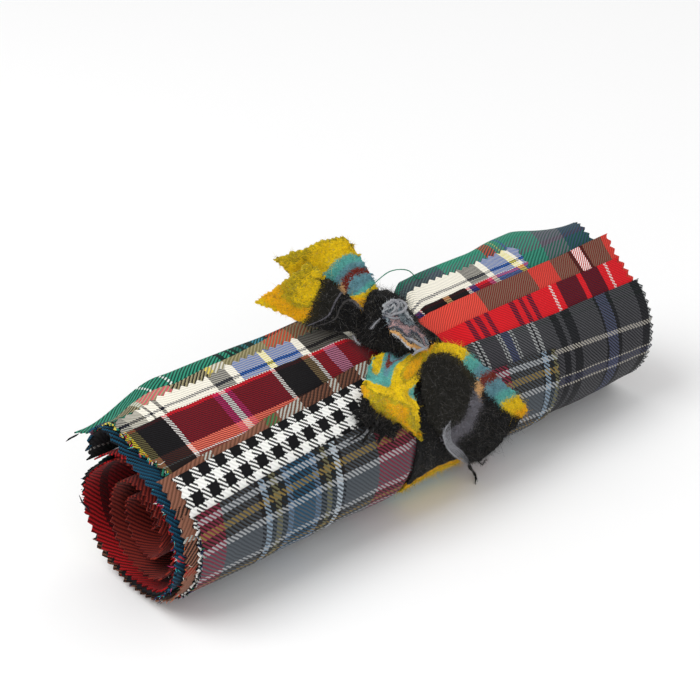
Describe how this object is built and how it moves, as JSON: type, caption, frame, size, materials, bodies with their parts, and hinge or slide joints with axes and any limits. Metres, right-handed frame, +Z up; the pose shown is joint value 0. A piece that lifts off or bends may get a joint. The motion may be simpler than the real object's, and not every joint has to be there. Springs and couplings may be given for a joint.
{
  "type": "tied roll of tartan cloth samples",
  "caption": "Loose roll of tartan and houndstooth wool cloth samples with pinked edges, tied round the middle with a strip of brushed wool tartan.",
  "frame": {"origin": "centre of the box, at the height of what the roll rests on", "axes": "+X along the roll, -Y its front, +Z up"},
  "size_m": [0.317, 0.0849, 0.1348],
  "materials": {
    "muted_tartan_cloth": "brushed wool twill, grey, mauve, blue and olive tartan",
    "charcoal_tartan_cloth": "brushed wool twill, charcoal and navy tartan",
    "houndstooth_cloth": "wool twill, black and white houndstooth",
    "brown_tartan_cloth": "wool twill, brown tartan",
    "bright_red_tartan_cloth": "wool twill, bright red and navy tartan",
    "salmon_tartan_cloth": "wool twill, salmon, brown and red tartan",
    "dress_tartan_cloth": "wool twill, wine, black, cream and blue tartan",
    "green_orange_tartan_cloth": "wool twill, green, orange and tan tartan",
    "green_navy_tartan_cloth": "wool twill, green and navy tartan",
    "teal_tartan_cloth": "wool twill, teal and navy tartan",
    "black_tartan_cloth": "wool twill, black with fine grey lines",
    "red_twill_cloth": "wool twill, deep red",
    "black_white_cloth": "wool twill, black and white check",
    "maroon_core_cloth": "wool twill, maroon and red tartan",
    "tie_strip": "brushed wool, yellow, black and teal tartan"
  },
  "bodies": {
    "root": {"muted_tartan_cloth": "muted_tartan_cloth", "charcoal_tartan_cloth": "charcoal_tartan_cloth", "houndstooth_cloth": "houndstooth_cloth", "brown_tartan_cloth": "brown_tartan_cloth", "bright_red_tartan_cloth": "bright_red_tartan_cloth", "salmon_tartan_cloth": "salmon_tartan_cloth", "dress_tartan_cloth": "dress_tartan_cloth", "green_orange_tartan_cloth": "green_orange_tartan_cloth", "green_navy_tartan_cloth": "green_navy_tartan_cloth", "teal_tartan_cloth": "teal_tartan_cloth", "black_tartan_cloth": "black_tartan_cloth", "red_twill_cloth": "red_twill_cloth", "black_white_cloth": "black_white_cloth", "maroon_core_cloth": "maroon_core_cloth", "tie_strip": "tie_strip"}
  },
  "joints": []
}
